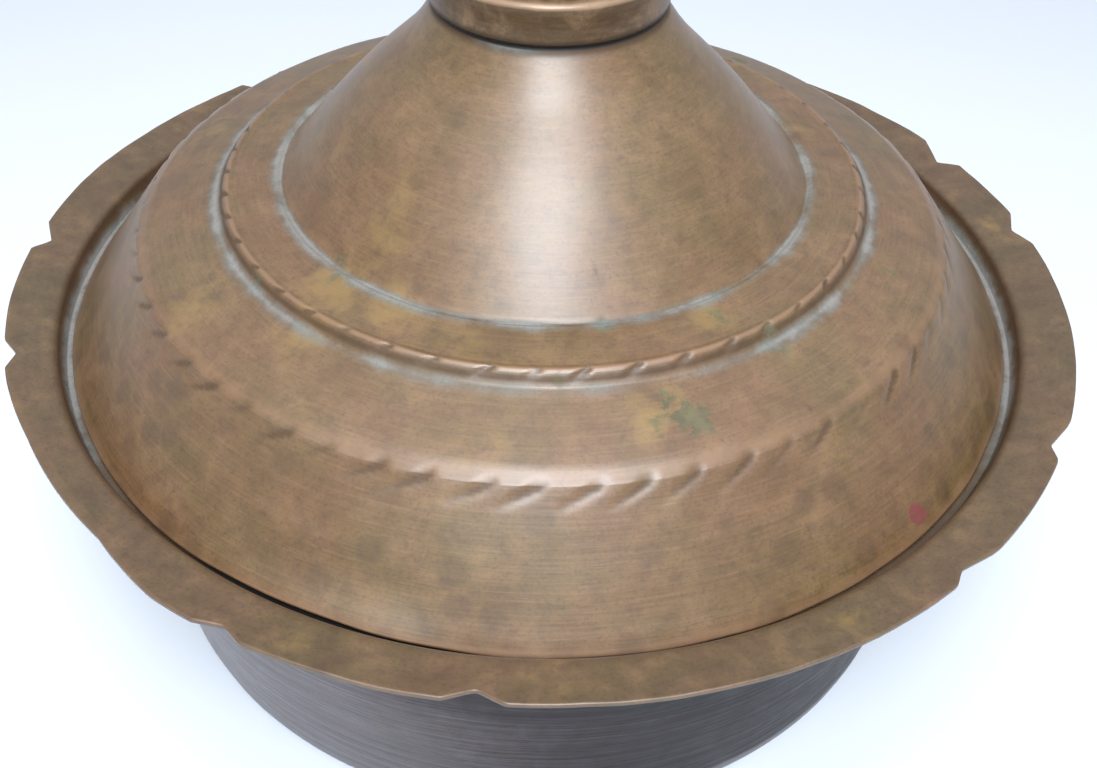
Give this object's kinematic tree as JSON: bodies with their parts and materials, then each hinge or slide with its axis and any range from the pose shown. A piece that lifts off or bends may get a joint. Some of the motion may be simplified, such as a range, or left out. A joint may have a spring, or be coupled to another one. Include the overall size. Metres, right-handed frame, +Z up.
{
  "type": "tagine pot",
  "caption": "Flat-bottomed copper dish with a scalloped flange, and a loose stepped conical lid that sits on a ledge inside the flange and carries a turned finial.",
  "frame": {"origin": "centre of the dish's resting face", "axes": "+Z up along the axis of the pot, -Y towards the front"},
  "size_m": [0.3599, 0.36, 0.2977],
  "materials": {
    "dish_copper": "aged hammered copper, brown patina, brushed wall, satin",
    "lid_copper": "aged hammered copper, brown patina with ochre mottling and verdigris in the valleys, satin",
    "collar_copper": "aged copper, darker brown, worn bright along the top edge, satin",
    "knob_copper": "aged copper, brown patina, satin",
    "brass_fittings": "turned brass, dull and worn"
  },
  "bodies": {
    "dish": {"dish": "dish_copper"},
    "lid": {"lid": "lid_copper", "collar": "collar_copper", "knob_stem": "brass_fittings", "knob_lower": "knob_copper", "knob_upper": "knob_copper", "knob_tip": "brass_fittings", "stud": "brass_fittings", "crown_washer": "brass_fittings", "stud_nut": "brass_fittings"}
  },
  "joints": [
    {"name": "lid_lift", "type": "slide", "parent": "dish", "child": "lid", "axis": [0, 0, 1], "range_m": [0, 0.2]}
  ]
}
